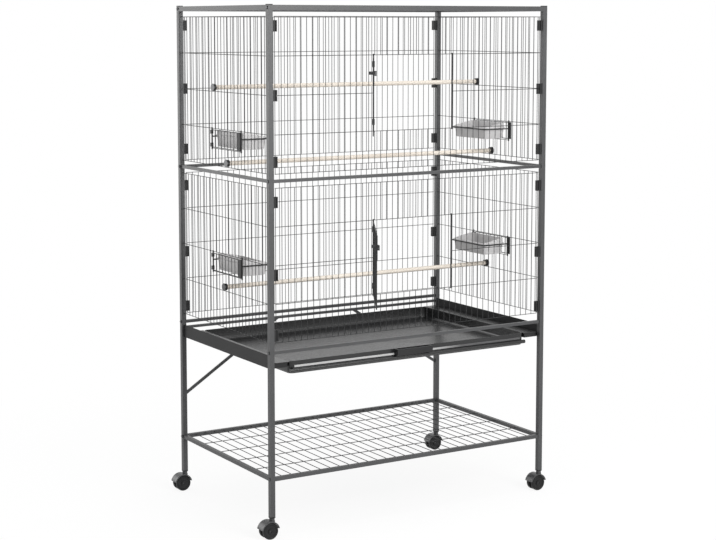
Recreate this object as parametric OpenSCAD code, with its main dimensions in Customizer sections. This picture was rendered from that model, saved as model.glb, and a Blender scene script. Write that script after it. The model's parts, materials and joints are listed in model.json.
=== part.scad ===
// Flight bird cage on a rolling stand: square tube frame, clipped wire panels,
// two hinged front doors, feeder doors with cups, perches, a tray and casters.
// Millimetres. Origin on the floor under the middle of the cage, +X to the right
// seen from the front, +Y to the rear, +Z up.

/* [Frame] */
// Distance between post centres, left to right
post_span_x = 844; // [760:1:920]
// Distance between post centres, front to rear
post_span_y = 510; // [470:1:580]
// Outside width of the square post and top rail tubes
post_size = 13; // [12:0.5:16]
// Wall of the post and rail tubes
tube_wall = 1.3; // [1:0.1:1.5]
// Height of the top of the tubes above the floor
frame_top = 1338; // [1280:1:1420]
// Outside width of the square mid rail tubes
mid_rail_size = 8; // [7:0.5:12]
// Height of the middle of the mid rails
mid_rail_z = 904; // [880:1:930]
// Thickness of a post cap's plate
cap_plate = 2; // [1:0.5:3]
// Depth of a post cap's plug in the tube
cap_plug = 3.5; // [2:0.5:3.5]
// Radius of a frame bolt's shank
bolt_r = 2; // [1.5:0.1:2.4]
// Radius of a frame bolt's head
bolt_head_r = 4; // [3.5:0.1:5.5]
// Thickness of a frame bolt's head
bolt_head_h = 2.2; // [1.5:0.1:3]
// Length of a frame bolt's shank under its head
bolt_len = 22; // [18:1:30]

/* [Base and tray] */
// Height of the bottom of the base skirts
skirt_bottom = 432; // [425:1:440]
// Sheet thickness of the base skirts
skirt_wall = 1.5; // [1:0.1:2]
// Height of a tray runner
runner_h = 10.5; // [8:0.5:16]
// Width of a tray runner
runner_w = 40; // [25:1:50]
// Gap between a post and the tray runner beside it
runner_gap = 3.5; // [2:0.5:6]
// Outside height of the tray
tray_h = 33; // [26:1:45]
// Sheet thickness of the tray
tray_wall = 2; // [1.5:0.1:2.5]
// Gap between the tray's rim and a post
tray_side_gap = 7.5; // [4:0.5:12]
// Gap between the tray's pan and a runner
pan_gap = 4; // [2:0.5:8]
// Distance of the tray's front behind the middle of the front posts
tray_front_inset = 3; // [0:0.5:6]
// Gap between the tray and the rear posts
tray_rear_gap = 4.5; // [3:0.5:8]
// Reach of the lip along the foot of the tray's front
lip_reach = 8; // [5:0.5:10]
// Height of the lip along the foot of the tray's front
lip_h = 10; // [6:0.5:12]
// Width of the tray's pull
pull_w = 110; // [80:1:140]
// Height of the tray's pull
pull_h = 16; // [10:1:16]
// Reach of the tray's pull in front of the tray
pull_reach = 18; // [15:1:26]
// Thickness of the tray's pull
pull_bar = 5; // [4:0.5:6]
// Outside width of the square base rail tubes
base_rail_size = 8; // [7:0.5:12]
// Height of the middle of the base rails
base_rail_z = 474; // [468:1:484]
// Outside width of the square rear lower rail tube
lower_rail_size = 7; // [6:0.5:9]
// Height of the middle of the rear lower rail
lower_rail_z = 458; // [452:1:462]
// Height of the base skirts
skirt_h = 34; // [28:1:40]

/* [Shelf and braces] */
// Height of the middle of the shelf rails
shelf_z = 151; // [120:1:200]
// Outside width of the square shelf rail tubes
shelf_rail_size = 10; // [8:0.5:12]
// Thickness of the shelf's wires
shelf_wire = 2; // [1.8:0.1:3]
// Spacing of the shelf's front to rear wires
shelf_pitch = 28; // [20:1:40]
// Spacing of the shelf's side to side wires
shelf_cross_pitch = 90; // [60:1:120]
// Height of a brace's foot on its rear post
brace_z = 268; // [230:1:300]
// Distance from the post to where a brace meets the rear lower rail
brace_run = 292; // [220:1:330]
// Width of a brace across its slope
brace_w = 8; // [6:0.5:12]
// Thickness of a brace
brace_t = 4; // [3:0.5:6]

/* [Wire panels] */
// Thickness of the panel wires
wire = 1.6; // [1.4:0.1:2.2]
// Depth that crossing wires sink into each other at a weld
weld = 0.4; // [0.2:0.1:0.6]
// Aimed spacing of the upright wires
wire_pitch = 18; // [16:0.5:20]
// Cells between level wires in each panel's height
panel_cells = 4; // [4:1:4]
// Gap between the mid rail and the panels above and below it
panel_gap = 13.5; // [10:0.5:16]
// Gap between the top rails and the upper panels
panel_top_gap = 15; // [12:0.5:20]
// Gap between the base rails and the lower panels
panel_bottom_gap = 20; // [16:0.5:26]
// Distance from a post to the end wire of a clipped panel
clip_reach = 8; // [7:0.5:10]
// Height of a panel clip
clip_h = 28; // [16:1:28]
// Depth of a panel clip
clip_d = 10; // [9:0.5:12]
// Reach of a panel clip past the end wire
clip_hold = 4.5; // [3:0.5:5]
// Level wires across the top panel
top_rows = 3; // [2:1:6]

/* [Doors] */
// Width of a front door's opening between its rods
door_w = 243; // [220:1:270]
// Radius of the rods on both sides of an opening
rod_r = 2; // [1.8:0.1:2.4]
// Thickness of a door's frame bars
door_bar = 3; // [2.5:0.1:3.4]
// Distance of a door's first bar from its hinge rod
hinge_gap = 6; // [5.5:0.1:7]
// Gap around a door in its opening
door_gap = 1.5; // [1:0.1:2]
// Outside radius of a hinge knuckle
knuckle_r = 3.4; // [3:0.1:3.6]
// Length of a hinge knuckle
knuckle_len = 15; // [10:1:20]
// Distance of the knuckles from the ends of their rod
knuckle_inset = 16; // [12:1:22]
// Angle at which the upper front door stands open
upper_door_angle = 122; // [0:1:165]
// Angle at which the lower front door stands open
lower_door_angle = 120; // [0:1:165]
// Length of a latch bolt
latch_len = 37.5; // [32:0.5:42]
// Height of a latch bolt
latch_h = 8; // [6:0.5:10]
// Thickness of a latch bolt
latch_t = 3; // [2.5:0.1:4]
// Distance of a latch below the top of its opening
latch_drop = 40; // [30:1:50]
// Width of a latch's plate
latch_plate_w = 16; // [14:0.5:20]
// Height of a latch's plate
latch_plate_h = 60; // [30:1:70]
// Sheet thickness of a latch's plate and bridges
latch_sheet = 1.5; // [1:0.1:2]
// Reach of a latch's thumb tab in front of the door
tab_reach = 12; // [8:0.5:16]
// Thickness of a latch's thumb tab
tab_t = 3; // [2:0.5:3.5]

/* [Feeders] */
// Upright wire gaps that a feeder opening takes up
feeder_gaps = 9; // [9:2:11]
// Height of a feeder opening under its level wire
feeder_h = 52; // [50:1:60]
// Width of a feeder door's lap over the far rod of its opening
feeder_lap_w = 3.5; // [2:0.5:5]
// Thickness of a feeder door's frame bars
feeder_bar = 2.2; // [2:0.1:3]
// Width of the closing plate at a feeder door's free edge
feeder_plate_w = 14; // [8:0.5:16]
// Length of a feeder door's hinge knuckles
feeder_knuckle_len = 10; // [8:1:12]
// Distance of a feeder door's knuckles from the ends of their rod
feeder_knuckle_inset = 4; // [3:0.5:5]
// Width of a feeder cup along the panel
cup_w = 152; // [120:1:154]
// Depth of a feeder cup from the panel inwards
cup_d = 71; // [50:1:90]
// Height of a feeder cup at its back
cup_h = 44; // [38:1:46]
// Drop of a cup's lip below its back
cup_lip_drop = 12; // [6:1:16]
// Depth of the level part of a cup's end walls at its back
cup_shoulder = 16; // [8:1:30]
// Wall of a feeder cup
cup_wall = 2; // [1.5:0.1:3]
// Overhang of a cup's rim
rim_over = 2.4; // [2:0.1:3]
// Thickness of a cup's rim
rim_t = 3; // [2:0.5:4]
// Gap between a cup's top and the level wire over it
cup_top_gap = 4; // [2:0.5:6]
// Distance of a cup from the level wires of its panel
cup_stand = 5; // [5:0.5:10]
// Thickness of a cup holder's bars
holder_bar = 3; // [2.5:0.5:4]

/* [Perches] */
// Radius of a perch
perch_r = 6; // [5:0.5:8]
// Radius of a perch's end cap
perch_cap_r = 9; // [8.5:0.5:10]
// Thickness of a perch's end cap
perch_cap_t = 5; // [4:0.5:12]
// Gap between a perch's end cap and the level wire under it
perch_wire_gap = 0.5; // [0.3:0.1:1]
// Radius of a perch screw's shank
screw_r = 2; // [1.5:0.1:3]
// Depth of a perch screw in its perch
screw_depth = 20; // [12:1:30]
// Radius of a perch screw's washer head
washer_r = 10; // [9.5:0.1:10]
// Thickness of a perch screw's washer head
washer_t = 2; // [1.5:0.1:3]

/* [Casters] */
// Height of the bottom of the posts above the floor
caster_h = 55; // [52:0.5:65]
// Radius of a caster's wheels
wheel_r = 21; // [18:0.5:22]
// Width of one wheel of a caster
wheel_w = 10; // [8:0.5:12]
// Chamfer of a wheel's tread
wheel_chamfer = 2; // [1:0.1:3]
// Depth of the dish in a wheel's outer face
wheel_dish = 2; // [1:0.5:3]
// Radius of a wheel's hub
hub_r = 7; // [5:0.5:9]
// Thickness of the web between the wheels
web_t = 7; // [6:0.5:9]
// Gap between a wheel and the web
wheel_gap = 1; // [0.5:0.1:1.5]
// Gap between a wheel and the hood over it
hood_gap = 1.5; // [1:0.1:2.5]
// Thickness of the hood over the wheels
hood_t = 3; // [2:0.1:4]
// Distance of the axle behind the swivel
trail = 10; // [6:0.5:14]
// Radius of a caster's axle
axle_r = 2.5; // [2:0.1:3]
// Radius of a caster's stem
stem_r = 4; // [3:0.1:4.2]
// Length of a caster's stem above its boss
stem_len = 23; // [15:1:30]
// Radius of the boss under a caster's stem
boss_r = 7; // [6:0.5:8]
// Thickness of a caster socket's flange
socket_flange = 3; // [2:0.5:4]
// Depth of a caster socket in its post
socket_depth = 25; // [20:1:35]

/* [Fits] */
// Gap between faces that slide or rest on each other
rest_fit = 0.3; // [0.2:0.05:0.4]
// Radial clearance of a turning fit
turn_fit = 0.05; // [0.03:0.01:0.08]
// Radial clearance of a bolt in its hole and of a plug in its tube
plug_fit = 0.1; // [0.05:0.01:0.2]
// Radial clearance of a pressed axle
press_fit = 0.02; // [0.01:0.01:0.03]
// Gap between a clip's groove and its wire
clip_fit = 0.2; // [0.1:0.05:0.3]

/* [Hidden] */
$fn = 48;
overrun = 1;

// Colours
coat = "#45464a";
wire_coat = "#3a3b3f";
black = "#232326";
cup_grey = "#8f9194";
wood = "#cfae86";
steel = "#6c6e72";

// Post and rail places
hx = post_span_x / 2;
hy = post_span_y / 2;
fx = hx - post_size / 2;
fy = hy - post_size / 2;
post_bore = post_size - 2 * tube_wall;
post_len = frame_top - caster_h;
top_rail_z = frame_top - post_size / 2;
plug_size = post_bore - 2 * plug_fit;

// Base stack from the skirts upwards
runner_top = skirt_bottom + skirt_wall + runner_h;
rim_bottom = runner_top + rest_fit;
rim_top = rim_bottom + tray_wall;
base_rail_top = base_rail_z + base_rail_size / 2;
lower_rail_bottom = lower_rail_z - lower_rail_size / 2;
skirt_top = skirt_bottom + skirt_h;
runner_out = fx - runner_gap;
runner_in = runner_out - runner_w;
web_in = hx - skirt_wall / 2;
web_out = hx + skirt_wall / 2;
tray_front = tray_front_inset - hy;
tray_rear = fy - tray_rear_gap;
tray_len = tray_rear - tray_front;
pan_half = runner_in - pan_gap;
pan_bottom = rim_top - tray_h;
rim_half = fx - tray_side_gap;
pull_z = rim_top - pull_h / 2;
lip_bottom = pan_bottom + lip_h / 2;
bolt_levels = [shelf_z, base_rail_z, mid_rail_z, top_rail_z];

// Panel levels
upper_low = mid_rail_z + mid_rail_size / 2 + panel_gap;
upper_top = frame_top - post_size - panel_top_gap;
lower_low = base_rail_top + panel_bottom_gap;
lower_top = mid_rail_z - mid_rail_size / 2 - panel_gap;
upper_levels = [for (i = [0:panel_cells]) upper_low + i * (upper_top - upper_low) / panel_cells];
lower_levels = [for (i = [0:panel_cells]) lower_low + i * (lower_top - lower_low) / panel_cells];

// Panel wire places. An odd number of gaps puts a gap in the middle.
function odd_gaps(span, pitch) = 2 * floor(span / pitch / 2) + 1;
function spread(gaps, span) = [for (i = [0:gaps]) i * span / gaps - span / 2];
function inner(places) = [for (i = [1:len(places) - 2]) places[i]];
end_wire = fx - clip_reach;
front_wires = spread(odd_gaps(2 * end_wire, wire_pitch), 2 * end_wire);
side_gaps = odd_gaps(2 * fy, wire_pitch);
side_step = 2 * fy / side_gaps;
side_wires = inner(spread(side_gaps, 2 * fy));
top_wires = inner(spread(odd_gaps(2 * fx, wire_pitch), 2 * fx));
wire_out = wire / 2;
level_in = 3 * wire / 2 - weld;

// Clip heights as shares of their panel's height
upper_clip_shares = [0.077, 0.5, 0.94];
lower_clip_shares = [0.05, 0.44, 0.91];

// Openings, as [left, right, bottom, top] seen from outside
upper_hole = [-door_w / 2, door_w / 2, upper_levels[1], upper_levels[3]];
lower_hole = [-door_w / 2, door_w / 2, lower_levels[1], lower_levels[3]];
feeder_half = feeder_gaps * side_step / 2;
feeder_mid = side_step;
feeder_set = rod_r + feeder_bar / 2 + rest_fit;
feeder_left = feeder_mid - feeder_half;
feeder_right = feeder_mid + feeder_half;
upper_feed = [feeder_left, feeder_right, upper_levels[1] - feeder_h, upper_levels[1]];
lower_feed = [feeder_left, feeder_right, lower_levels[2] - feeder_h, lower_levels[2]];
rod_over = rod_r + wire / 2;

// Latch places on a door, measured from the hinge
door_free = door_w - rod_r - door_gap;
latch_low = door_bar / 2 - weld;
latch_bed = latch_low + latch_sheet + rest_fit;
latch_tip = door_free - rest_fit;
bridge_w = latch_sheet * 2;
door_span = door_free - door_bar / 2 - hinge_gap;
door_step = door_span / round(door_span / wire_pitch);
tab_u = door_free - door_bar / 2 - 2 * door_step + wire / 2 + rest_fit;

// Cup places
cup_back = level_in + cup_stand;
holder_depth = cup_back + cup_d + rest_fit + holder_bar;
holder_half = feeder_half - rod_r;
cup_lip = -cup_lip_drop;
upper_cup_top = upper_levels[1] - cup_top_gap;
lower_cup_top = lower_levels[2] - cup_top_gap;

// Perches, each as its level wire's height and its wire gap behind the middle
perch_lift = wire / 2 + perch_wire_gap + perch_cap_r;
perch_half = hx - wire_out - perch_cap_t;
high_perch_at = [3 * side_step, upper_levels[2] + perch_lift];
middle_perch_at = [-side_step, upper_levels[0] + perch_lift];
low_perch_at = [0, lower_levels[1] + perch_lift];
perch_places = [high_perch_at, middle_perch_at, low_perch_at];

// Caster sizes
web_half = web_t / 2;
wheel_in = web_half + wheel_gap;
wheel_out = wheel_in + wheel_w;
hood_r = wheel_r + hood_gap + hood_t;
boss_top = caster_h - socket_flange - rest_fit;
boss_low = 2 * wheel_r + hood_gap;
hood_share = 0.25;

// A square tube along X, centred
module tube_x(length, size) {
  bore = size - 2 * tube_wall;
  difference() {
    cube([length, size, size], center = true);
    cube([length + 2 * overrun, bore, bore], center = true);
  }
}

// Two tubes along X and two along Y between the posts
module rail_ring(z, size) {
  for (s = [-1, 1]) {
    translate([0, s * hy, z]) tube_x(2 * fx, size);
    translate([s * hx, 0, z]) rotate([0, 0, 90]) tube_x(2 * fy, size);
  }
}

// Wires in a panel's own frame: X along the panel, Z up, outside towards -Y
module upright(u, low, high, d) {
  translate([u - d / 2, -d / 2, low]) cube([d, d, high - low]);
}

module level(v, left, right, d) {
  translate([left, d / 2 - weld, v - d / 2]) cube([right - left, d, d]);
}

module rod(u, low, high) {
  translate([u, 0, low - rod_over]) cylinder(r = rod_r, h = high - low + 2 * rod_over);
}

function crosses(u, hole) = len(hole) > 0 && u > hole[0] - rod_r && u < hole[1] + rod_r;
function between(v, hole) = len(hole) > 0 && v > hole[2] + wire && v < hole[3] - wire;

module wire_panel(uprights, levels, reach, hole = []) {
  low = levels[0] - wire / 2;
  high = levels[len(levels) - 1] + wire / 2;
  for (u = uprights) {
    if (crosses(u, hole)) {
      upright(u, low, hole[2], wire);
      upright(u, hole[3], high, wire);
    } else {
      upright(u, low, high, wire);
    }
  }
  for (v = levels) {
    if (between(v, hole)) {
      level(v, -reach, hole[0], wire);
      level(v, hole[1], reach, wire);
    } else {
      level(v, -reach, reach, wire);
    }
  }
  if (len(hole) > 0) {
    for (u = [hole[0], hole[1]]) rod(u, hole[2], hole[3]);
    level(hole[2], hole[0], hole[1], wire);
  }
}

// A level grid of wires: long ones front to rear on top, cross wires below
module flat_grid(uprights, levels, half, front, rear, d) {
  rotate([-90, 0, 0]) {
    for (u = uprights) upright(u, front, rear, d);
    for (v = levels) level(v, -half, half, d);
  }
}

// Places on the frame's sides
module at_front() {
  translate([0, -hy, 0]) children();
}

module at_rear() {
  translate([0, hy, 0]) rotate([0, 0, 180]) children();
}

module at_left() {
  translate([-hx, 0, 0]) rotate([0, 0, -90]) children();
}

module at_right() {
  mirror([1, 0, 0]) at_left() children();
}

module post(side_x, side_y) {
  color(coat) translate([side_x * hx, side_y * hy, caster_h]) difference() {
    translate([-post_size / 2, -post_size / 2, 0]) cube([post_size, post_size, post_len]);
    translate([-post_bore / 2, -post_bore / 2, -overrun])
      cube([post_bore, post_bore, post_len + 2 * overrun]);
    for (z = bolt_levels) translate([0, 0, z - caster_h]) rotate([0, 90, 0])
      cylinder(r = bolt_r + plug_fit, h = post_size + 2 * overrun, center = true);
  }
}

module post_caps() {
  color(black) for (x = [-hx, hx], y = [-hy, hy]) translate([x, y, frame_top]) {
    translate([-post_size / 2, -post_size / 2, 0]) cube([post_size, post_size, cap_plate]);
    translate([-plug_size / 2, -plug_size / 2, -cap_plug]) cube([plug_size, plug_size, cap_plug]);
  }
}

module top_rails() {
  color(coat) rail_ring(top_rail_z, post_size);
}

module mid_rails() {
  color(coat) rail_ring(mid_rail_z, mid_rail_size);
}

module shelf_rails() {
  color(coat) rail_ring(shelf_z, shelf_rail_size);
}

module frame_bolts() {
  color(steel) for (sx = [-1, 1], y = [-hy, hy], z = bolt_levels)
    translate([sx * (hx + post_size / 2), y, z]) rotate([0, sx * 90, 0]) {
      cylinder(r = bolt_head_r, h = bolt_head_h);
      translate([0, 0, -bolt_len]) cylinder(r = bolt_r, h = bolt_len);
    }
}

module base_front_rail() {
  color(coat) translate([0, -hy, base_rail_z]) tube_x(2 * fx, base_rail_size);
}

module base_rear_rail() {
  color(coat) translate([0, hy, base_rail_z]) tube_x(2 * fx, base_rail_size);
}

module rear_lower_rail() {
  color(coat) translate([0, hy, lower_rail_z]) tube_x(2 * fx, lower_rail_size);
}

// Bent sheet: web between the posts and a flange under the tray runner
module right_skirt() {
  profile = [
    [web_out, skirt_bottom], [web_out, skirt_top], [web_in, skirt_top],
    [web_in, skirt_bottom + skirt_wall], [runner_in, skirt_bottom + skirt_wall], [runner_in, skirt_bottom]
  ];
  color(coat) translate([0, fy, 0]) rotate([90, 0, 0]) linear_extrude(2 * fy) polygon(profile);
}

module left_skirt() {
  mirror([1, 0, 0]) right_skirt();
}

module right_tray_runner() {
  color(black) translate([runner_in, -fy, skirt_bottom + skirt_wall]) cube([runner_w, 2 * fy, runner_h]);
}

module left_tray_runner() {
  mirror([1, 0, 0]) right_tray_runner();
}

module shelf_mesh() {
  half_x = hx - shelf_rail_size / 2;
  half_y = hy - shelf_rail_size / 2;
  long_wires = inner(spread(odd_gaps(2 * half_x, shelf_pitch), 2 * half_x));
  rows = inner(spread(odd_gaps(2 * half_y, shelf_cross_pitch), 2 * half_y));
  color(wire_coat) translate([0, 0, shelf_z + shelf_wire])
    flat_grid(long_wires, rows, half_x, -half_y, half_y, shelf_wire);
}

// Bar in the rear plane from a post up to the rear lower rail
module rear_brace_right() {
  rise = lower_rail_bottom - brace_z;
  slope = atan2(rise, brace_run);
  foot = brace_w / cos(slope);
  head = brace_w / sin(slope);
  color(coat) translate([fx, hy + brace_t / 2, 0]) rotate([90, 0, 0]) linear_extrude(brace_t)
    polygon([
      [0, brace_z], [0, brace_z + foot],
      [head - brace_run, lower_rail_bottom], [-brace_run, lower_rail_bottom]
    ]);
}

module rear_brace_left() {
  mirror([1, 0, 0]) rear_brace_right();
}

module front_upper_panel() {
  color(wire_coat) at_front() wire_panel(front_wires, upper_levels, end_wire + wire / 2, upper_hole);
}

module front_lower_panel() {
  color(wire_coat) at_front() wire_panel(front_wires, lower_levels, end_wire + wire / 2, lower_hole);
}

module rear_upper_panel() {
  color(wire_coat) at_rear() wire_panel(front_wires, upper_levels, end_wire + wire / 2);
}

module rear_lower_panel() {
  color(wire_coat) at_rear() wire_panel(front_wires, lower_levels, end_wire + wire / 2);
}

module left_upper_panel() {
  color(wire_coat) at_left() wire_panel(side_wires, upper_levels, fy, upper_feed);
}

module left_lower_panel() {
  color(wire_coat) at_left() wire_panel(side_wires, lower_levels, fy, lower_feed);
}

module right_upper_panel() {
  color(wire_coat) at_right() wire_panel(side_wires, upper_levels, fy, upper_feed);
}

module right_lower_panel() {
  color(wire_coat) at_right() wire_panel(side_wires, lower_levels, fy, lower_feed);
}

module top_panel() {
  rows = inner(spread(top_rows + 1, 2 * fy));
  color(wire_coat) translate([0, 0, top_rail_z]) flat_grid(top_wires, rows, fx, -fy, fy, wire);
}

// Block on a post with a groove for a panel's end wire and a notch for a level wire it meets
module panel_clip(met) {
  groove = wire + 2 * clip_fit;
  difference() {
    translate([end_wire - clip_hold, -clip_d / 2, -clip_h / 2])
      cube([clip_reach + clip_hold, clip_d, clip_h]);
    translate([end_wire - groove / 2, -clip_d / 2 - overrun, -clip_h / 2 - overrun])
      cube([groove, clip_d / 2 + overrun + groove / 2, clip_h + 2 * overrun]);
    for (v = met) translate([end_wire - clip_hold - overrun, -clip_d / 2 - overrun, v - groove / 2])
      cube([clip_hold + overrun + groove / 2, clip_d / 2 + overrun + level_in + clip_fit, groove]);
  }
}

module panel_clips() {
  tiers = [[upper_levels, upper_clip_shares], [lower_levels, lower_clip_shares]];
  for (tier = tiers, share = tier[1], side = [0, 1]) {
    levels = tier[0];
    z = levels[0] + share * (levels[panel_cells] - levels[0]);
    met = [for (v = levels) if (abs(v - z) < clip_h / 2 + wire) v - z];
    translate([0, 0, z]) mirror([side, 0, 0]) panel_clip(met);
  }
}

module front_panel_clips() {
  color(black) at_front() panel_clips();
}

module rear_panel_clips() {
  color(black) at_rear() panel_clips();
}

// Sleeve round a hinge rod, with a tab to the door's first bar
module knuckle(set_out, bar, length) {
  difference() {
    union() {
      cylinder(r = knuckle_r, h = length);
      translate([-knuckle_r / 2, -set_out - bar / 2, 0])
        cube([knuckle_r / 2 + hinge_gap, bar, length]);
    }
    translate([0, 0, -overrun]) cylinder(r = rod_r + turn_fit, h = length + 2 * overrun);
  }
}

// Door in its closed pose: hinge rod at X = 0, opening from Z = 0 to its height.
// Its knuckles are given as their distance from the rod's ends and their length.
module wire_door(free, height, rows, set_out, bar, knuckles) {
  low = wire / 2 + door_gap;
  first = hinge_gap;
  last = free - bar / 2;
  gaps = round((last - first) / wire_pitch);
  step = (last - first) / gaps;
  translate([0, -set_out, 0]) {
    for (u = [first, last]) upright(u, low, height - low, bar);
    for (v = [low, height - low - bar])
      translate([first, -bar / 2, v]) cube([last - first, bar, bar]);
    for (i = [1:gaps - 1]) upright(first + i * step, low + weld, height - low - weld, wire);
    for (v = rows) level(v, first, last, wire);
  }
  inset = knuckles[0];
  length = knuckles[1];
  for (v = [inset, height - inset - length]) translate([0, 0, v]) knuckle(set_out, bar, length);
}

// Plate and two bridges that guide a latch bolt on a front door
module latch_seat(z) {
  leg = latch_h / 2 + rest_fit;
  span = latch_bed + latch_t + rest_fit;
  translate([door_free - latch_plate_w, latch_low, z - latch_plate_h / 2])
    cube([latch_plate_w, latch_sheet, latch_plate_h]);
  for (u = [door_free - latch_plate_w, door_free - 2 * bridge_w]) {
    for (v = [z - leg - latch_sheet, z + leg])
      translate([u, latch_low, v]) cube([bridge_w, span - latch_low, latch_sheet]);
    translate([u, span, z - leg - latch_sheet]) cube([bridge_w, latch_sheet, 2 * (leg + latch_sheet)]);
  }
}

// Sliding bolt with a thumb tab that passes between the door's wires
module latch_bolt(z) {
  translate([latch_tip - latch_len, latch_bed, z - latch_h / 2]) cube([latch_len, latch_t, latch_h]);
  translate([tab_u, -tab_reach, z - latch_h / 2]) cube([tab_t, tab_reach + latch_bed + latch_t, latch_h]);
}

module front_door_at(hole, angle) {
  translate([hole[0], -hy, hole[2]]) rotate([0, 0, -angle]) children();
}

module front_door(hole, angle) {
  height = hole[3] - hole[2];
  color(wire_coat) front_door_at(hole, angle) {
    wire_door(door_free, height, [height / 2], 0, door_bar, [knuckle_inset, knuckle_len]);
    latch_seat(height - latch_drop);
  }
}

module front_latch(hole, angle) {
  color(steel) front_door_at(hole, angle) latch_bolt(hole[3] - hole[2] - latch_drop);
}

module upper_door() {
  front_door(upper_hole, upper_door_angle);
}

module lower_door() {
  front_door(lower_hole, lower_door_angle);
}

module upper_door_latch() {
  front_latch(upper_hole, upper_door_angle);
}

module lower_door_latch() {
  front_latch(lower_hole, lower_door_angle);
}

// Door that closes against the outside of its opening's far rod, with a plate at its free edge
module feeder_door(hole) {
  free = hole[1] - hole[0] + feeder_lap_w;
  height = hole[3] - hole[2];
  low = wire / 2 + door_gap;
  plate_out = feeder_set + feeder_bar / 2 - weld;
  color(wire_coat) translate([hole[0], 0, hole[2]]) {
    wire_door(free, height, [], feeder_set, feeder_bar, [feeder_knuckle_inset, feeder_knuckle_len]);
    translate([free - feeder_plate_w, -plate_out - latch_sheet, low])
      cube([feeder_plate_w, latch_sheet, height - 2 * low]);
  }
}

module left_upper_feeder_door() {
  at_left() feeder_door(upper_feed);
}

module left_lower_feeder_door() {
  at_left() feeder_door(lower_feed);
}

module right_upper_feeder_door() {
  at_right() feeder_door(upper_feed);
}

module right_lower_feeder_door() {
  at_right() feeder_door(lower_feed);
}

// Two arms welded to an opening's rods and a bar across their ends, under a cup's rim
module cup_holder(top) {
  z = top + cup_lip - rim_t - rest_fit - holder_bar;
  inside = cup_w / 2 + rest_fit;
  translate([feeder_mid, 0, z]) {
    for (s = [0, 1]) mirror([s, 0, 0]) translate([inside, -rod_r / 2, 0])
      cube([holder_half - inside, holder_depth + rod_r / 2, holder_bar]);
    translate([-holder_half, holder_depth - holder_bar, 0])
      cube([2 * holder_half, holder_bar, holder_bar]);
  }
}

module cup_holders() {
  color(wire_coat) for (z = [upper_cup_top, lower_cup_top]) {
    at_left() cup_holder(z);
    at_right() cup_holder(z);
  }
}

// Bin with its back higher than its lip, and a rim that rests on the holder
module cup(top) {
  end_wall = [[0, -cup_h], [0, 0], [cup_shoulder, 0], [cup_d, cup_lip], [cup_d, -cup_h]];
  color(cup_grey) translate([feeder_mid, cup_back, top]) difference() {
    union() {
      translate([-cup_w / 2, 0, 0]) rotate([90, 0, 90]) linear_extrude(cup_w) polygon(end_wall);
      translate([-cup_w / 2 - rim_over, -rim_over, cup_lip - rim_t])
        cube([cup_w + 2 * rim_over, cup_d + 2 * rim_over, rim_t]);
    }
    translate([cup_wall - cup_w / 2, cup_wall, cup_wall - cup_h])
      cube([cup_w - 2 * cup_wall, cup_d - 2 * cup_wall, cup_h + overrun]);
  }
}

module left_upper_cup() {
  at_left() cup(upper_cup_top);
}

module left_lower_cup() {
  at_left() cup(lower_cup_top);
}

module right_upper_cup() {
  at_right() cup(upper_cup_top);
}

module right_lower_cup() {
  at_right() cup(lower_cup_top);
}

// Dowel from side to side with a screw hole in each end
module perch(place) {
  color(wood) translate([0, place[0], place[1]]) rotate([0, 90, 0]) difference() {
    cylinder(r = perch_r, h = 2 * perch_half, center = true);
    for (s = [0, 1]) mirror([0, 0, s]) translate([0, 0, perch_half - screw_depth - overrun])
      cylinder(r = screw_r + plug_fit, h = screw_depth + 2 * overrun);
  }
}

module high_perch() {
  perch(high_perch_at);
}

module middle_perch() {
  perch(middle_perch_at);
}

module low_perch() {
  perch(low_perch_at);
}

module perch_ends() {
  for (p = perch_places, s = [-1, 1])
    translate([s * perch_half, p[0], p[1]]) rotate([0, s * 90, 0]) children();
}

module perch_caps() {
  color(black) perch_ends() difference() {
    cylinder(r = perch_cap_r, h = perch_cap_t);
    translate([0, 0, -overrun]) cylinder(r = screw_r + plug_fit, h = perch_cap_t + 2 * overrun);
  }
}

module perch_screws() {
  color(steel) perch_ends() {
    translate([0, 0, -screw_depth]) cylinder(r = screw_r, h = screw_depth + perch_cap_t + wire);
    translate([0, 0, perch_cap_t + wire]) cylinder(r = washer_r, h = washer_t);
  }
}

// Open pan hung between the runners by a rim on each side
module tray() {
  color(black) difference() {
    union() {
      translate([-rim_half, tray_front, rim_bottom]) cube([2 * rim_half, tray_len, tray_wall]);
      translate([-pan_half, tray_front, pan_bottom]) cube([2 * pan_half, tray_len, tray_h]);
      translate([-pan_half, tray_front - lip_reach, lip_bottom])
        cube([2 * pan_half, lip_reach + tray_wall, lip_h]);
    }
    translate([tray_wall - pan_half, tray_front + tray_wall, pan_bottom + tray_wall])
      cube([2 * (pan_half - tray_wall), tray_len - 2 * tray_wall, tray_h + overrun]);
  }
}

module tray_pull() {
  color(black) translate([-pull_w / 2, tray_front - pull_reach, pull_z - pull_h / 2]) {
    cube([pull_w, pull_bar, pull_h]);
    for (x = [0, pull_w - pull_bar]) translate([x, 0, 0]) cube([pull_bar, pull_reach, pull_h]);
  }
}

// Plug in a post's foot with a bore for a caster's stem
module caster_sockets() {
  color(black) for (x = [-hx, hx], y = [-hy, hy]) translate([x, y, caster_h]) difference() {
    union() {
      translate([-post_size / 2, -post_size / 2, -socket_flange])
        cube([post_size, post_size, socket_flange]);
      translate([-plug_size / 2, -plug_size / 2, 0]) cube([plug_size, plug_size, socket_depth]);
    }
    translate([0, 0, -socket_flange - overrun])
      cylinder(r = stem_r + turn_fit, h = socket_flange + socket_depth + 2 * overrun);
  }
}

// A solid of revolution round a caster's axle, along Y
module round_axle() {
  translate([-trail, 0, wheel_r]) rotate([90, 0, 0]) children();
}

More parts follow.
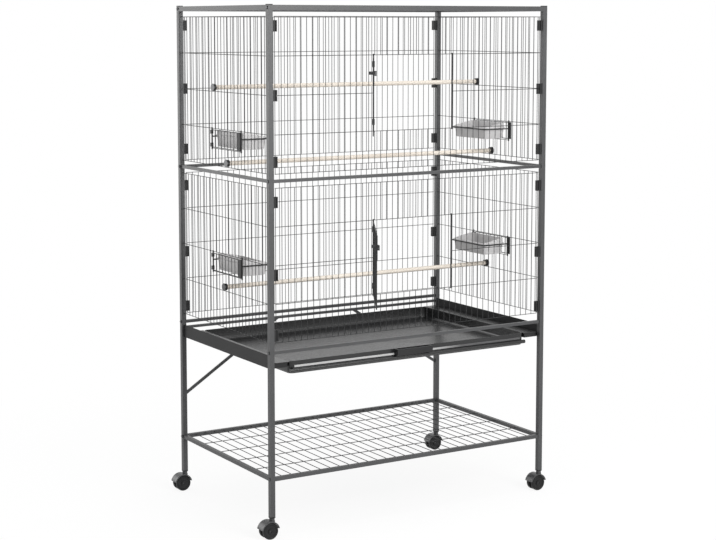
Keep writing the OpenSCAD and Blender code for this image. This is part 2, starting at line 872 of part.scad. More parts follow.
// Web, hood, boss and stem in one piece, with the axle pressed in
module caster(side_x, side_y) {
  hood_low = wheel_r * (1 + hood_share);
  color(black) translate([side_x * hx, side_y * hy, 0]) {
    difference() {
      union() {
        round_axle() cylinder(r = hub_r + wheel_gap, h = web_t, center = true);
        translate([-trail - hub_r, -web_half, wheel_r])
          cube([trail + 2 * hub_r, web_t, wheel_r + hood_gap + hood_t / 2]);
        intersection() {
          round_axle() difference() {
            cylinder(r = hood_r, h = 2 * wheel_out, center = true);
            cylinder(r = wheel_r + hood_gap, h = 2 * (wheel_out + overrun), center = true);
          }
          translate([-trail - hood_r, -wheel_out, hood_low]) cube([2 * hood_r, 2 * wheel_out, hood_r]);
        }
        translate([0, 0, boss_low]) cylinder(r = boss_r, h = boss_top - boss_low);
        translate([0, 0, boss_top]) cylinder(r = stem_r, h = stem_len);
      }
      round_axle() cylinder(r = axle_r + press_fit, h = web_t + 2 * overrun, center = true);
    }
    round_axle() cylinder(r = axle_r, h = 2 * (wheel_out - wheel_dish), center = true);
  }
}

// Two dished wheels with chamfered treads
module wheels(side_x, side_y) {
  bore = axle_r + turn_fit;
  rim = wheel_r - 2 * wheel_chamfer;
  profile = [
    [bore, wheel_in], [wheel_r - wheel_chamfer, wheel_in], [wheel_r, wheel_in + wheel_chamfer],
    [wheel_r, wheel_out - wheel_chamfer], [wheel_r - wheel_chamfer, wheel_out], [rim, wheel_out],
    [rim - wheel_chamfer, wheel_out - wheel_dish], [hub_r, wheel_out - wheel_dish],
    [hub_r, wheel_out], [bore, wheel_out]
  ];
  color(black) translate([side_x * hx, side_y * hy, 0]) round_axle()
    for (s = [0, 1]) mirror([0, 0, s]) rotate_extrude() polygon(profile);
}

post(-1, -1);  // post_front_left
post(1, -1);  // post_front_right
post(-1, 1);  // post_rear_left
post(1, 1);  // post_rear_right
post_caps();
top_rails();
mid_rails();
frame_bolts();
base_front_rail();
base_rear_rail();
rear_lower_rail();
left_skirt();
right_skirt();
left_tray_runner();
right_tray_runner();
shelf_rails();
shelf_mesh();
rear_brace_left();
rear_brace_right();
front_upper_panel();
front_lower_panel();
rear_upper_panel();
rear_lower_panel();
left_upper_panel();
left_lower_panel();
right_upper_panel();
right_lower_panel();
top_panel();
front_panel_clips();
rear_panel_clips();
upper_door();
lower_door();
upper_door_latch();
lower_door_latch();
left_upper_feeder_door();
left_lower_feeder_door();
right_upper_feeder_door();
right_lower_feeder_door();
cup_holders();
left_upper_cup();
left_lower_cup();
right_upper_cup();
right_lower_cup();
high_perch();
middle_perch();
low_perch();
perch_caps();
perch_screws();
tray();
tray_pull();
caster_sockets();
caster(-1, -1);  // caster_front_left
caster(1, -1);  // caster_front_right
caster(-1, 1);  // caster_rear_left
caster(1, 1);  // caster_rear_right
wheels(-1, -1);  // wheels_front_left
wheels(1, -1);  // wheels_front_right
wheels(-1, 1);  // wheels_rear_left
wheels(1, 1);  // wheels_rear_right
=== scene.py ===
"""Looks of the flight bird cage: round wires, powder coat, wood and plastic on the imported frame."""

import json
import math

import bmesh
import bpy
from mathutils import Euler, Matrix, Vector


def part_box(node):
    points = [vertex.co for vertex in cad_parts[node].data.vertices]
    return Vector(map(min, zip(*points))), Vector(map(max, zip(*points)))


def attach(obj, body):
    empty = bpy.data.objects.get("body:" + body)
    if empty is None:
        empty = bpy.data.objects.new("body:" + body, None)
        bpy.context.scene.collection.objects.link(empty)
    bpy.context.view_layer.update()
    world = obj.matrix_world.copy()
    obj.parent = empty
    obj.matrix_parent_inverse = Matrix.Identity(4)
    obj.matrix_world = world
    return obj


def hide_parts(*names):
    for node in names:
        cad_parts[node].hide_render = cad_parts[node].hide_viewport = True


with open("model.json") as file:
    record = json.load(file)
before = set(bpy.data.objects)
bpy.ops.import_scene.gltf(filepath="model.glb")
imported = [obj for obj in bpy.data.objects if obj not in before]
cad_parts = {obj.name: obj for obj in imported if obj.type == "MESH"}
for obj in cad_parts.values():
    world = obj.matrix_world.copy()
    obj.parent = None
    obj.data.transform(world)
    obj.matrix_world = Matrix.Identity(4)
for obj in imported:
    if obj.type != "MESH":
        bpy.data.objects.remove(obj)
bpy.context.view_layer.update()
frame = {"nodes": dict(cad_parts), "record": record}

MM = 0.001
BODY_OF = {node: body for body, nodes in frame["record"]["behaviour"]["bodies"].items() for node in nodes}
SLOT_OF = {part["node"]: part["material_slot"] for part in frame["record"]["subparts"]}


def span(node):
    """Lowest and highest corner of a CAD node, in millimetres."""
    return [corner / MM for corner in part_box(node)]


# Sizes of the CAD source that its boxes don't show, in millimetres and degrees
WIRE, WELD, WIRE_PITCH, PANEL_CELLS = 1.6, 0.4, 18.0, 4
SHELF_WIRE, SHELF_PITCH, SHELF_CROSS_PITCH = 2.0, 28.0, 90.0
TOP_ROWS = 3
ROD_R = 2.0
DOOR_W, DOOR_BAR, DOOR_GAP, HINGE_GAP = 243.0, 3.0, 1.5, 6.0
DOOR_ANGLES = {"upper": 122.0, "lower": 120.0}
KNUCKLE_R = 3.4
DOOR_KNUCKLES, FEEDER_KNUCKLES = (16.0, 15.0), (4.0, 10.0)
LATCH_H, LATCH_T, LATCH_DROP = 8.0, 3.0, 40.0
PLATE_W, PLATE_H, LATCH_SHEET = 16.0, 60.0, 1.5
FEEDER_GAPS, FEEDER_H, FEEDER_LAP, FEEDER_BAR, FEEDER_PLATE_W = 9, 52.0, 3.5, 2.2, 14.0
RIM_OVER, RIM_T, CUP_WALL = 2.4, 3.0, 2.0
CUP_LIP_DROP, CUP_SHOULDER = 12.0, 16.0
TRAY_WALL, PAN_GAP, LIP_REACH, LIP_H = 2.0, 4.0, 8.0, 10.0
REST_FIT = 0.3

# Places that follow from the frame
post_low, post_high = span("post_front_left")
HX, HY = -(post_low.x + post_high.x) / 2, -(post_low.y + post_high.y) / 2
FX, FY = -post_high.x, -post_high.y
END_WIRE = span("rear_upper_panel")[1].x - WIRE / 2


def spread(gaps, length):
    return [i * length / gaps - length / 2 for i in range(gaps + 1)]


def odd_gaps(length, pitch):
    return 2 * math.floor(length / pitch / 2) + 1


def levels_of(panel):
    low, high = span(panel)
    step = (high.z - low.z - WIRE) / PANEL_CELLS
    return [low.z + WIRE / 2 + i * step for i in range(PANEL_CELLS + 1)]


LEVELS = {tier: levels_of(f"rear_{tier}_panel") for tier in ("upper", "lower")}
FRONT_WIRES = spread(odd_gaps(2 * END_WIRE, WIRE_PITCH), 2 * END_WIRE)
SIDE_GAPS = odd_gaps(2 * FY, WIRE_PITCH)
SIDE_STEP = 2 * FY / SIDE_GAPS
SIDE_WIRES = spread(SIDE_GAPS, 2 * FY)[1:-1]
FEEDER_MID, FEEDER_HALF = SIDE_STEP, FEEDER_GAPS * SIDE_STEP / 2

# Openings as (left, right, bottom, top), seen from outside
DOOR_HOLES = {t: (-DOOR_W / 2, DOOR_W / 2, v[1], v[3]) for t, v in LEVELS.items()}
FEEDER_ROWS = {"upper": 1, "lower": 2}
FEEDER_HOLES = {
    t: (FEEDER_MID - FEEDER_HALF, FEEDER_MID + FEEDER_HALF, LEVELS[t][row] - FEEDER_H, LEVELS[t][row])
    for t, row in FEEDER_ROWS.items()
}

# Materials
COOL, NEUTRAL = (0.985, 1.0, 1.04), (1.015, 1.0, 1.005)
CLOUD_SCALE, CLOUD_DETAIL, CLOUD_BAND = 9, 3, (0.35, 0.65)
GRAIN_DETAIL, GRAIN_DEPTH = 2, 0.0004
WOOD_DARK, WOOD_PALE, WOOD_BAND = (0.46, 0.41, 0.355), (0.6, 0.55, 0.485), (0.3, 0.68)
WOOD_SCALE, WOOD_DETAIL, WOOD_STRETCH = 60, 5, (0.06, 1, 1)
WOOD_ROUGHNESS, WOOD_GRAIN, WOOD_DEPTH = 0.6, 0.25, 0.0006
# Painted highlight on the tray's front: a pale grey fading to a dark grey, in place of the lamps' reflection
STRIP_HIGHLIGHT_PALE, STRIP_HIGHLIGHT_DIM, STRIP_HIGHLIGHT_ROUGHNESS = (0.36, 0.36, 0.36), (0.06, 0.06, 0.062), 0.5


def tree(name):
    mat = bpy.data.materials.new(name)
    mat.use_nodes = True
    nodes = mat.node_tree.nodes
    return mat, nodes, mat.node_tree.links, nodes["Principled BSDF"]


def noise_of(nodes, links, scale, detail, stretch=(1, 1, 1)):
    coord = nodes.new("ShaderNodeTexCoord")
    mapping = nodes.new("ShaderNodeMapping")
    mapping.inputs["Scale"].default_value = stretch
    noise = nodes.new("ShaderNodeTexNoise")
    noise.inputs["Scale"].default_value = scale
    noise.inputs["Detail"].default_value = detail
    links.new(coord.outputs["Object"], mapping.inputs["Vector"])
    links.new(mapping.outputs["Vector"], noise.inputs["Vector"])
    return noise


def ramp_of(nodes, links, source, low, high, band):
    """Colour ramp between two colours, over a band of the source's values."""
    ramp = nodes.new("ShaderNodeValToRGB")
    for element, position, colour in zip(ramp.color_ramp.elements, band, (low, high)):
        element.position = position
        element.color = (*colour, 1)
    links.new(source, ramp.inputs["Fac"])
    return ramp


def bump_of(nodes, links, height, shader, strength, distance):
    bump = nodes.new("ShaderNodeBump")
    bump.inputs["Strength"].default_value = strength
    bump.inputs["Distance"].default_value = distance
    links.new(height, bump.inputs["Height"])
    links.new(bump.outputs["Normal"], shader.inputs["Normal"])


def coat(name, tones, roughness, grain, strength, specular=0.5, metallic=0.0, tint=COOL):
    """Painted or moulded surface: two close greys in soft clouds, and a fine grain."""
    mat, nodes, links, shader = tree(name)
    clouds = noise_of(nodes, links, CLOUD_SCALE, CLOUD_DETAIL)
    low, high = [[share * tone for share in tint] for tone in tones]
    ramp = ramp_of(nodes, links, clouds.outputs["Fac"], low, high, CLOUD_BAND)
    links.new(ramp.outputs["Color"], shader.inputs["Base Color"])
    shader.inputs["Roughness"].default_value = roughness
    shader.inputs["Specular IOR Level"].default_value = specular
    shader.inputs["Metallic"].default_value = metallic
    fine = noise_of(nodes, links, grain, GRAIN_DETAIL)
    bump_of(nodes, links, fine.outputs["Fac"], shader, strength, GRAIN_DEPTH)
    return mat


def wood(name):
    """Bare dowel: pale grain drawn out along X."""
    mat, nodes, links, shader = tree(name)
    grain = noise_of(nodes, links, WOOD_SCALE, WOOD_DETAIL, WOOD_STRETCH)
    ramp = ramp_of(nodes, links, grain.outputs["Fac"], WOOD_DARK, WOOD_PALE, WOOD_BAND)
    links.new(ramp.outputs["Color"], shader.inputs["Base Color"])
    shader.inputs["Roughness"].default_value = WOOD_ROUGHNESS
    bump_of(nodes, links, grain.outputs["Fac"], shader, WOOD_GRAIN, WOOD_DEPTH)
    return mat


def painted_highlight_strip(name, left, right):
    """Painted highlight: a pale line standing in for the lamps' reflection on the tray's glossy front,
    fading to the right between two places along X in metres.
    """
    mat, nodes, links, shader = tree(name)
    coord = nodes.new("ShaderNodeTexCoord")
    parts = nodes.new("ShaderNodeSeparateXYZ")
    share = nodes.new("ShaderNodeMapRange")
    share.inputs["From Min"].default_value = left
    share.inputs["From Max"].default_value = right
    links.new(coord.outputs["Object"], parts.inputs["Vector"])
    links.new(parts.outputs["X"], share.inputs["Value"])
    ramp = ramp_of(nodes, links, share.outputs["Result"], STRIP_HIGHLIGHT_PALE, STRIP_HIGHLIGHT_DIM, (0.0, 1.0))
    links.new(ramp.outputs["Color"], shader.inputs["Base Color"])
    shader.inputs["Roughness"].default_value = STRIP_HIGHLIGHT_ROUGHNESS
    return mat


# Each coat as (dark and pale tone), roughness, scale and strength of the grain, specular and metallic
SLOTS = {
    "frame_coat": coat("frame_coat", (0.034, 0.042), 0.4, 900, 0.12),
    "base_coat": coat("base_coat", (0.011, 0.015), 0.6, 900, 0.12, 0.25),
    "wire_coat": coat("wire_coat", (0.014, 0.02), 0.5, 900, 0.1, 0.25),
    "black_plastic": coat("black_plastic", (0.009, 0.014), 0.5, 1200, 0.15, 0.25),
    "tray_plastic": coat("tray_plastic", (0.008, 0.012), 0.26, 250, 0.02),
    "fastener_steel": coat("fastener_steel", (0.05, 0.075), 0.35, 1500, 0.1, 0.5, 0.6),
    "cup_plastic": coat("cup_plastic", (0.42, 0.47), 0.4, 900, 0.06, tint=NEUTRAL),
    "caster_plastic": coat("caster_plastic", (0.03, 0.042), 0.32, 1100, 0.08),
    "wheel_plastic": coat("wheel_plastic", (0.006, 0.01), 0.5, 1300, 0.12, 0.25),
    "perch_wood": wood("perch_wood"),
}

# CAD nodes that show as they are get their finish and, where they are tubes or mouldings, soft edges.
# Radii are in millimetres, angles in degrees.
EDGE_RADII = {
    "frame_coat": 0.9,
    "base_coat": 0.3,
    "black_plastic": 0.7,
    "tray_plastic": 1.2,
    "caster_plastic": 0.5,
    "wheel_plastic": 0.5,
    "fastener_steel": 0.6,
}
EDGE_STEPS, EDGE_ANGLE = 2, 35
SMOOTH_CAD, SMOOTH_WIRE, SMOOTH_MOULDED = 30, 50, 40


def paint(obj, slot):
    obj.data.materials.clear()
    obj.data.materials.append(SLOTS[slot])
    for face in obj.data.polygons:
        face.material_index = 0


def smooth(mesh, angle):
    for face in mesh.polygons:
        face.use_smooth = True
    mesh.set_sharp_from_angle(angle=math.radians(angle))


def soften(obj, radius):
    bevel = obj.modifiers.new("soft_edges", "BEVEL")
    bevel.width = radius * MM
    bevel.segments = EDGE_STEPS
    bevel.limit_method = "ANGLE"
    bevel.angle_limit = math.radians(EDGE_ANGLE)
    bevel.harden_normals = True


for node, obj in frame["nodes"].items():
    slot = SLOT_OF[node]
    paint(obj, slot)
    smooth(obj.data, SMOOTH_CAD)
    if slot in EDGE_RADII:
        soften(obj, EDGE_RADII[slot])

# Pieces that stand for CAD nodes
WIRE_SIDES, LIP_SIDES, CORNER_STEPS = 10, 24, 6


class Shape:
    """Points in millimetres and faces of one piece."""

    def __init__(self):
        self.points = []
        self.faces = []

    def skin(self, rings):
        """Closed skin through rings of equal length, with a face at each end."""
        count = len(rings[0])
        base = len(self.points)
        last = base + (len(rings) - 1) * count
        self.points += [Vector(point) for ring in rings for point in ring]
        for start in range(base, last, count):
            for k in range(count):
                n = (k + 1) % count
                self.faces.append((start + k, start + n, start + count + n, start + count + k))
        self.faces.append(tuple(base + k for k in reversed(range(count))))
        self.faces.append(tuple(last + k for k in range(count)))

    def wire(self, start, end, radius, sides=WIRE_SIDES):
        start, end = Vector(start), Vector(end)
        along = (end - start).normalized()
        side = along.orthogonal().normalized()
        other = along.cross(side)
        turns = [2 * math.pi * k / sides for k in range(sides)]
        offsets = [radius * (side * math.cos(t) + other * math.sin(t)) for t in turns]
        self.skin([[start + o for o in offsets], [end + o for o in offsets]])

    def box(self, place, low, high):
        corners = ((low[0], low[1]), (high[0], low[1]), (high[0], high[1]), (low[0], high[1]))
        self.skin([[place(u, y, v) for u, y in corners] for v in (low[2], high[2])])

    def finish(self, name, node, angle=SMOOTH_WIRE):
        """The piece as an object that rides with the CAD node's body and stands for the node."""
        slot = SLOT_OF[node]
        mesh = bpy.data.meshes.new(name)
        mesh.from_pydata([point * MM for point in self.points], [], self.faces)
        skin = bmesh.new()
        skin.from_mesh(mesh)
        bmesh.ops.recalc_face_normals(skin, faces=skin.faces)
        skin.to_mesh(mesh)
        skin.free()
        obj = bpy.data.objects.new(name, mesh)
        bpy.context.scene.collection.objects.link(obj)
        smooth(mesh, angle)
        paint(obj, slot)
        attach(obj, BODY_OF[node])
        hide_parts(node)
        return obj


def as_is(u, y, v):
    return (u, y, v)


# A panel's own frame is u along it, y inwards and v up
PLACES = {
    "front": lambda u, y, v: (u, y - HY, v),
    "rear": lambda u, y, v: (-u, HY - y, v),
    "left": lambda u, y, v: (y - HX, -u, v),
    "right": lambda u, y, v: (HX - y, -u, v),
}


def upright(shape, place, u, low, high, d=WIRE, y=0.0):
    shape.wire(place(u, y, low), place(u, y, high), d / 2)


def level(shape, place, v, left, right, d=WIRE, y=0.0):
    shape.wire(place(left, y + d - WELD, v), place(right, y + d - WELD, v), d / 2)


def wire_panel(name, place, uprights, levels, reach, hole=None):
    """Welded grid, with two rods beside the opening it may have and a wire under it."""
    shape = Shape()
    low, high = levels[0] - WIRE / 2, levels[-1] + WIRE / 2
    for u in uprights:
        if hole and hole[0] - ROD_R < u < hole[1] + ROD_R:
            upright(shape, place, u, low, hole[2])
            upright(shape, place, u, hole[3], high)
        else:
            upright(shape, place, u, low, high)
    for v in levels:
        if hole and hole[2] + WIRE < v < hole[3] - WIRE:
            level(shape, place, v, -reach, hole[0])
            level(shape, place, v, hole[1], reach)
        else:
            level(shape, place, v, -reach, reach)
    if hole:
        over = ROD_R + WIRE / 2
        for u in hole[:2]:
            upright(shape, place, u, hole[2] - over, hole[3] + over, 2 * ROD_R)
        if hole[2] not in levels:
            level(shape, place, hole[2], hole[0], hole[1])
    shape.finish(f"{name}_wires", f"{name}_panel")


for tier, levels in LEVELS.items():
    reach = END_WIRE + WIRE / 2
    wire_panel(f"front_{tier}", PLACES["front"], FRONT_WIRES, levels, reach, DOOR_HOLES[tier])
    wire_panel(f"rear_{tier}", PLACES["rear"], FRONT_WIRES, levels, reach)
    for side in ("left", "right"):
        wire_panel(f"{side}_{tier}", PLACES[side], SIDE_WIRES, levels, FY, FEEDER_HOLES[tier])


def flat_grid(name, node, half_x, half_y, long_gaps, row_gaps, d):
    """Level grid: long wires front to rear on top, cross wires below."""
    shape = Shape()
    z = span(node)[1].z - d / 2
    for u in spread(long_gaps, 2 * half_x)[1:-1]:
        shape.wire((u, -half_y, z), (u, half_y, z), d / 2)
    for v in spread(row_gaps, 2 * half_y)[1:-1]:
        shape.wire((-half_x, v, z - d + WELD), (half_x, v, z - d + WELD), d / 2)
    shape.finish(name, node)


flat_grid("top_wires", "top_panel", FX, FY, odd_gaps(2 * FX, WIRE_PITCH), TOP_ROWS + 1, WIRE)
shelf = span("shelf_mesh")[1]
flat_grid(
    "shelf_wires", "shelf_mesh", shelf.x, shelf.y,
    odd_gaps(2 * shelf.x, SHELF_PITCH), odd_gaps(2 * shelf.y, SHELF_CROSS_PITCH), SHELF_WIRE,
)

# Doors: round bars and wires, sleeves on the hinge rod


def door_shape(place, free, low, high, rows, set_out, bar, knuckles):
    shape = Shape()
    first, last = HINGE_GAP, free - bar / 2
    edge = WIRE / 2 + DOOR_GAP + bar / 2
    bottom, top = low + edge, high - edge
    gaps = round((last - first) / WIRE_PITCH)
    for i in range(gaps + 1):
        thickness = bar if i in (0, gaps) else WIRE
        upright(shape, place, first + i * (last - first) / gaps, bottom, top, thickness, -set_out)
    for v in (bottom, top):
        shape.wire(place(first, -set_out, v), place(last, -set_out, v), bar / 2)
    for v in rows:
        level(shape, place, v, first, last, WIRE, -set_out)
    inset, length = knuckles
    for v in (low + inset, high - inset - length):
        upright(shape, place, 0, v, v + length, 2 * KNUCKLE_R)
        shape.box(place, (-KNUCKLE_R / 2, -set_out - bar / 2, v), (HINGE_GAP, bar / 2 - set_out, v + length))
    return shape


def latch_seat(shape, place, free, z):
    """Plate and two bridges that guide the latch bolt."""
    low = DOOR_BAR / 2 - WELD
    leg = LATCH_H / 2 + REST_FIT
    roof = low + LATCH_SHEET + LATCH_T + 2 * REST_FIT
    bridge_w = 2 * LATCH_SHEET
    shape.box(place, (free - PLATE_W, low, z - PLATE_H / 2), (free, low + LATCH_SHEET, z + PLATE_H / 2))
    for u in (free - PLATE_W, free - 2 * bridge_w):
        for v in (z - leg - LATCH_SHEET, z + leg):
            shape.box(place, (u, low, v), (u + bridge_w, roof, v + LATCH_SHEET))
        outer = leg + LATCH_SHEET
        shape.box(place, (u, roof, z - outer), (u + bridge_w, roof + LATCH_SHEET, z + outer))


def turned(hole, angle):
    """Frame of a front door that stands open by an angle on its left rod."""
    c, s = math.cos(math.radians(angle)), math.sin(math.radians(angle))
    return lambda u, y, v: (hole[0] + u * c + y * s, -HY - u * s + y * c, v)


def beside(place, u_start):
    return lambda u, y, v: place(u_start + u, y, v)


for tier, hole in DOOR_HOLES.items():
    place = turned(hole, DOOR_ANGLES[tier])
    free = DOOR_W - ROD_R - DOOR_GAP
    rows = [(hole[2] + hole[3]) / 2]
    door = door_shape(place, free, hole[2], hole[3], rows, 0.0, DOOR_BAR, DOOR_KNUCKLES)
    latch_seat(door, place, free, hole[3] - LATCH_DROP)
    door.finish(f"{tier}_door_wires", f"{tier}_door")

for tier, hole in FEEDER_HOLES.items():
    for side in ("left", "right"):
        place = beside(PLACES[side], hole[0])
        free = hole[1] - hole[0] + FEEDER_LAP
        set_out = ROD_R + FEEDER_BAR / 2 + REST_FIT
        door = door_shape(place, free, hole[2], hole[3], [], set_out, FEEDER_BAR, FEEDER_KNUCKLES)
        edge, out = WIRE / 2 + DOOR_GAP, set_out + FEEDER_BAR / 2 - WELD
        plate_low = (free - FEEDER_PLATE_W, -out - LATCH_SHEET, hole[2] + edge)
        plate_high = (free, -out, hole[3] - edge)
        door.box(place, plate_low, plate_high)
        door.finish(f"{side}_{tier}_feeder_wires", f"{side}_{tier}_feeder_door")

# Cups and tray: moulded bins with rounded corners. Each profile is a row of (inset from the wall,
# height above the named level, corner radius).
CUP_FOOT = ((6.0, 0.0, 8.0), (3.4, 0.8, 10.0), (2.4, 3.0, 11.0))
CUP_LIP = (
    (0.2, -RIM_T - 1.5, 11.0), (0.0, -RIM_T, 11.0), (-RIM_OVER, 0.1 - RIM_T, 12.0),
    (-RIM_OVER, -0.9, 12.0), (0.8 - RIM_OVER, -0.1, 12.0), (0.0, 0.0, 11.0),
)
CUP_CROWN = ((0.0, -0.4, 11.0), (0.4, 0.0, 11.0), (CUP_WALL - 0.4, 0.0, 10.0), (CUP_WALL, -0.4, 10.0))
CUP_WELL = ((CUP_WALL + 2.6, 6.0, 10.0), (CUP_WALL + 4.4, 2.8, 9.0), (CUP_WALL + 7.0, 2.0, 8.0))
TRAY_FOOT = ((6.0, 0.0, 10.0), (2.5, 0.9, 12.0), (0.8, 3.5, 13.0), (0.0, 8.0, 14.0))
TRAY_BRIM = ((0.0, -0.5, 14.0), (0.5, 0.0, 14.0), (1.5, 0.0, 13.0), (2.0, -0.5, 13.0))
TRAY_WELL = ((2.2, 9.0, 12.0), (3.4, 5.0, 11.0), (6.0, 2.6, 9.0), (9.0, 2.0, 8.0))
FLANGE_LAP = 1.0

# The painted highlight on the tray's front, a pale line in place of the lamps' reflection on its glossy
# edge: its ends, depth and heights in millimetres, its fade in metres
STRIP_INSET, STRIP_OUT, STRIP_IN = 14.0, 0.8, 0.2
STRIP_LOW, STRIP_HIGH = 16.8, 22.2
STRIP_HIGHLIGHT_FADE = (0.06, 0.16)


def corner_ring(centre, half_x, half_y, z, radius):
    ring = []
    for turn, (sx, sy) in enumerate(((1, 1), (-1, 1), (-1, -1), (1, -1))):
        cx, cy = centre[0] + sx * (half_x - radius), centre[1] + sy * (half_y - radius)
        for k in range(CORNER_STEPS + 1):
            t = math.pi / 2 * (turn + k / CORNER_STEPS)
            ring.append((cx + radius * math.cos(t), cy + radius * math.sin(t), z))
    return ring


def bin_rings(centre, half_x, half_y, profile, base):
    """Rounded rectangles of a profile above a level."""
    return [
        corner_ring(centre, half_x - inset, half_y - inset, base + rise, radius)
        for inset, rise, radius in profile
    ]


def add_cup(side, tier):
    """Bin with its back higher than its lip, and a rim round it at the lip."""
    node = f"{side}_{tier}_cup"
    low, high = span(node)
    centre = (low + high) / 2
    half_x, half_y = (high.x - low.x) / 2 - RIM_OVER, (high.y - low.y) / 2 - RIM_OVER
    bottom, top = low.z, high.z
    lip = top - CUP_LIP_DROP
    inwards = 1 if side == "left" else -1

    def sloped(point):
        """The point lowered to the edge of the end walls, which slope from the back to the lip."""
        depth = half_x + inwards * (point[0] - centre.x)
        slope = (depth - CUP_SHOULDER) / (2 * half_x - CUP_SHOULDER)
        return (point[0], point[1], point[2] - CUP_LIP_DROP * min(max(slope, 0), 1))

    def rings(profile, base):
        return bin_rings(centre, half_x, half_y, profile, base)

    shape = Shape()
    shape.skin(
        rings(CUP_FOOT, bottom)
        + rings(CUP_LIP, lip)
        + [[sloped(point) for point in ring] for ring in rings(CUP_CROWN, top)]
        + rings(CUP_WELL, bottom)
    )
    shape.finish(f"{node}_skin", node, SMOOTH_MOULDED)


for tier in ("upper", "lower"):
    for side in ("left", "right"):
        add_cup(side, tier)


def add_tray():
    low, high = span("tray")
    front, rear = low.y + LIP_REACH, high.y
    pan_half = span("right_tray_runner")[0].x - PAN_GAP
    bottom, top = low.z, high.z
    centre, half_y = (0.0, (front + rear) / 2), (rear - front) / 2
    shape = Shape()
    shape.skin(
        bin_rings(centre, pan_half, half_y, TRAY_FOOT, bottom)
        + bin_rings(centre, pan_half, half_y, TRAY_BRIM, top)
        + bin_rings(centre, pan_half, half_y, TRAY_WELL, bottom)
    )
    for left, right in ((-high.x, FLANGE_LAP - pan_half), (pan_half - FLANGE_LAP, high.x)):
        shape.box(as_is, (left, front, top - TRAY_WALL), (right, rear, top))
    lip_r = LIP_H / 2
    lip_y, lip_z = front - LIP_REACH + lip_r, bottom + LIP_H
    shape.wire((-pan_half, lip_y, lip_z), (pan_half, lip_y, lip_z), lip_r, LIP_SIDES)
    shape.finish("tray_pan", "tray", SMOOTH_MOULDED)
    # Thin pale box on the tray's front: a painted highlight in place of the lamps' reflection, fading to the
    # right
    strip_half = pan_half - STRIP_INSET
    strip_low = (-strip_half, front - STRIP_OUT, bottom + STRIP_LOW)
    strip_high = (strip_half, front + STRIP_IN, bottom + STRIP_HIGH)
    strip = Shape()
    strip.box(as_is, strip_low, strip_high)
    line = strip.finish("tray_painted_highlight", "tray", SMOOTH_MOULDED)
    line.data.materials[0] = painted_highlight_strip("tray_painted_highlight", *STRIP_HIGHLIGHT_FADE)


add_tray()

# Stage: white floor and surroundings for the camera, soft light on the object
FLOOR_HALF, FLOOR_TONE, FLOOR_ROUGHNESS = 14.0, 0.86, 0.8
SHADOW_RADIUS, SHADOW_SHARE = 1.6, 0.15
ROOM_LIGHT, WHITE_LIGHT = 0.55, 1.0


def white_rays(nodes, links):
    """1 on the rays that show the white surroundings, else 0."""
    path = nodes.new("ShaderNodeLightPath")
    total = path.outputs["Is Camera Ray"]
    for kind in ("Is Glossy Ray", "Is Transmission Ray"):
        either = nodes.new("ShaderNodeMath")
        either.operation = "MAXIMUM"
        links.new(total, either.inputs[0])
        links.new(path.outputs[kind], either.inputs[1])
        total = either.outputs["Value"]
    return total


def mix_of(nodes, links, factor, lit, white, output):
    mix = nodes.new("ShaderNodeMixShader")
    links.new(factor, mix.inputs["Fac"])
    links.new(lit, mix.inputs[1])
    links.new(white, mix.inputs[2])
    links.new(mix.outputs["Shader"], output)


def floor_white():
    """White to the camera, with a part of the object's shadow kept round the object."""
    mat, nodes, links, shader = tree("floor_white")
    shader.inputs["Base Color"].default_value = (FLOOR_TONE, FLOOR_TONE, FLOOR_TONE, 1)
    shader.inputs["Roughness"].default_value = FLOOR_ROUGHNESS
    white = nodes.new("ShaderNodeEmission")
    coord = nodes.new("ShaderNodeTexCoord")
    mapping = nodes.new("ShaderNodeMapping")
    mapping.inputs["Scale"].default_value = [1 / SHADOW_RADIUS] * 3
    near = nodes.new("ShaderNodeTexGradient")
    near.gradient_type = "SPHERICAL"
    share = nodes.new("ShaderNodeMapRange")
    share.inputs["To Min"].default_value = 1.0
    share.inputs["To Max"].default_value = 1.0 - SHADOW_SHARE
    factor = nodes.new("ShaderNodeMath")
    factor.operation = "MULTIPLY"
    links.new(coord.outputs["Object"], mapping.inputs["Vector"])
    links.new(mapping.outputs["Vector"], near.inputs["Vector"])
    links.new(near.outputs["Fac"], share.inputs["Value"])
    links.new(white_rays(nodes, links), factor.inputs[0])
    links.new(share.outputs["Result"], factor.inputs[1])
    surface = nodes["Material Output"].inputs["Surface"]
    mix_of(nodes, links, factor.outputs["Value"], shader.outputs["BSDF"], white.outputs["Emission"], surface)
    return mat


def add_floor():
    r = FLOOR_HALF
    mesh = bpy.data.meshes.new("floor")
    mesh.from_pydata([(-r, -r, 0), (r, -r, 0), (r, r, 0), (-r, r, 0)], [], [(0, 1, 2, 3)])
    mesh.materials.append(floor_white())
    floor = bpy.data.objects.new("floor", mesh)
    bpy.context.scene.collection.objects.link(floor)


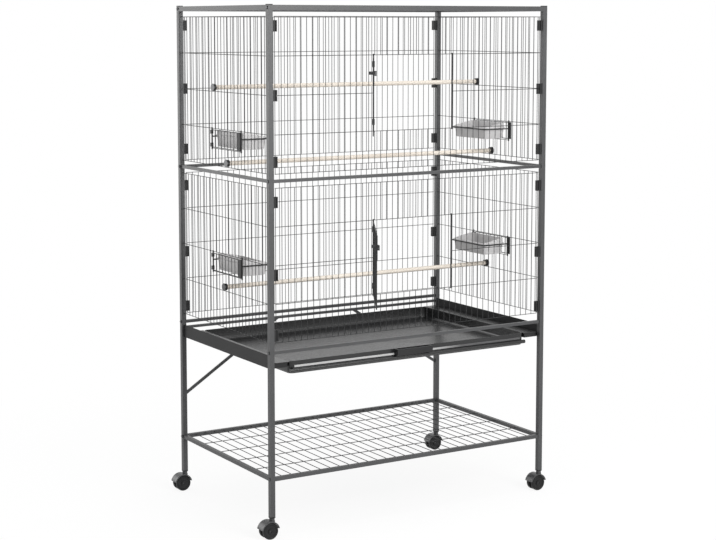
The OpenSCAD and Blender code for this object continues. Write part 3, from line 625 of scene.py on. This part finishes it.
def add_world():
    world = bpy.data.worlds.new("studio")
    bpy.context.scene.world = world
    world.use_nodes = True
    nodes, links = world.node_tree.nodes, world.node_tree.links
    room = nodes["Background"]
    white = nodes.new("ShaderNodeBackground")
    for background, strength in ((room, ROOM_LIGHT), (white, WHITE_LIGHT)):
        background.inputs["Color"].default_value = (1, 1, 1, 1)
        background.inputs["Strength"].default_value = strength
    surface = nodes["World Output"].inputs["Surface"]
    factor = white_rays(nodes, links)
    mix_of(nodes, links, factor, room.outputs["Background"], white.outputs["Background"], surface)


# Each light as name, place and size in metres, and watts
LIGHTS = (
    ("front", (0.6, -4.2, 2.0), (2.2, 2.0), 170),
    ("left", (-3.4, -0.6, 2.2), (2.2, 2.2), 8),
    ("back_left", (-2.4, 3.9, 1.4), (2.4, 2.4), 40),
    ("top", (0.2, -0.3, 3.4), (2.6, 2.2), 50),
)
LIGHT_TARGET = Vector((0, 0, 0.7))


def softbox(name, place, size, power):
    data = bpy.data.lights.new(name, "AREA")
    data.shape = "RECTANGLE"
    data.size, data.size_y = size
    data.energy = power
    lamp = bpy.data.objects.new(name, data)
    lamp.location = place
    lamp.rotation_euler = (LIGHT_TARGET - Vector(place)).to_track_quat("-Z", "Y").to_euler()
    bpy.context.scene.collection.objects.link(lamp)


add_floor()
add_world()
for light in LIGHTS:
    softbox(*light)

# Camera at the photograph's viewpoint, in metres, radians and pixels of a 716 by 540 picture
PICTURE_W, SENSOR_W = 716.0, 36.0
FOCAL_PIXELS = 1638.02
CAMERA_PLACE = (-2.33237, -3.80495, 1.29448)
CAMERA_PITCH, CAMERA_YAW = 0.10472, 0.54757
CAMERA_SHIFT = -0.10504

data = bpy.data.cameras.new("camera")
data.sensor_width = SENSOR_W
data.lens = FOCAL_PIXELS * data.sensor_width / PICTURE_W
data.shift_y = CAMERA_SHIFT
data.dof.use_dof = False
camera = bpy.data.objects.new("camera", data)
camera.location = CAMERA_PLACE
camera.rotation_euler = Euler((math.pi / 2 - CAMERA_PITCH, 0, -CAMERA_YAW))
bpy.context.scene.collection.objects.link(camera)
bpy.context.scene.camera = camera
bpy.context.scene.view_settings.view_transform = "Standard"
